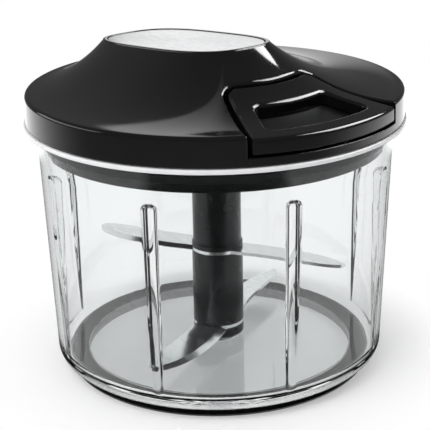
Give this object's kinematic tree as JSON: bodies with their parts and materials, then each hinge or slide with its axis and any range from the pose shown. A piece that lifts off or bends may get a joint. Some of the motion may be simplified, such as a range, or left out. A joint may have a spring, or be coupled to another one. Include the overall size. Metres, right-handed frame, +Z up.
{
  "type": "pull-string food chopper",
  "caption": "Pull-cord food chopper: clear ribbed bowl, black domed lid with a steel palm plate, finger-ring pull handle, sprung cord reel and two-tier steel blades",
  "frame": {"origin": "middle of the foot ring's tread, on the table", "axes": "+Z up along the lid's and the blades' axis, -Y the way the handle is pulled, +X to the right when the handle faces the viewer"},
  "size_m": [0.142, 0.142, 0.125],
  "materials": {
    "clear_plastic": "clear polished",
    "gloss_black": "gloss moulded",
    "satin_black": "satin moulded",
    "soft_black": "matte",
    "brushed_plate": "brushed along its length",
    "bright_steel": "bright",
    "brass": "turned",
    "white_nylon": "natural",
    "cord_white": "braided"
  },
  "bodies": {
    "bowl": {"bowl": "clear_plastic", "bowl_pin": "bright_steel", "foot_ring": "soft_black"},
    "lid": {"lid_cover": "gloss_black", "top_plate": "brushed_plate", "lid_base": "satin_black", "lid_seal": "soft_black", "lid_screws": "bright_steel", "reel_axle": "bright_steel", "drive_bush": "brass", "cord_eyelet": "brass", "cord_feed": "cord_white"},
    "handle": {"pull_handle": "gloss_black", "cord_lead": "cord_white", "cord_knot": "cord_white", "knot_cover": "gloss_black"},
    "reel": {"cord_reel": "white_nylon", "spring_cover": "white_nylon", "mainspring": "bright_steel", "wound_cord": "cord_white"},
    "drive": {"drive_hub": "satin_black", "drive_pawls": "white_nylon"},
    "tower": {"blade_stem": "satin_black", "upper_blade": "bright_steel", "blade_spacer": "satin_black", "lower_blade": "bright_steel", "blade_foot": "satin_black"}
  },
  "joints": [
    {"name": "lid_lift", "type": "slide", "parent": "bowl", "child": "lid", "axis": [0, 0, 1], "range_m": [0, 0.12]},
    {"name": "handle_pull", "type": "slide", "parent": "lid", "child": "handle", "axis": [0, -1, 0], "range_m": [0, 0.36], "stiffness_N_per_m": 12, "deforming": ["cord_lead"]},
    {"name": "reel_spin", "type": "hinge", "parent": "lid", "child": "reel", "pos_m": [0, 0, 0.105], "axis": [0, 0, 1], "range_deg": [0, 895], "deforming": ["mainspring", "wound_cord"]},
    {"name": "drive_spin", "type": "hinge", "parent": "lid", "child": "drive", "pos_m": [0, 0, 0.093], "axis": [0, 0, 1], "range_deg": [0, 895]},
    {"name": "tower_spin", "type": "hinge", "parent": "bowl", "child": "tower", "pos_m": [0, 0, 0.02], "axis": [0, 0, 1], "range_deg": [0, 895]}
  ],
  "couplings": [
    {"joint": "reel_spin", "follows": "handle_pull", "rad_per_m": 43.29},
    {"joint": "drive_spin", "follows": "handle_pull", "rad_per_m": 43.29},
    {"joint": "tower_spin", "follows": "handle_pull", "rad_per_m": 43.29}
  ]
}
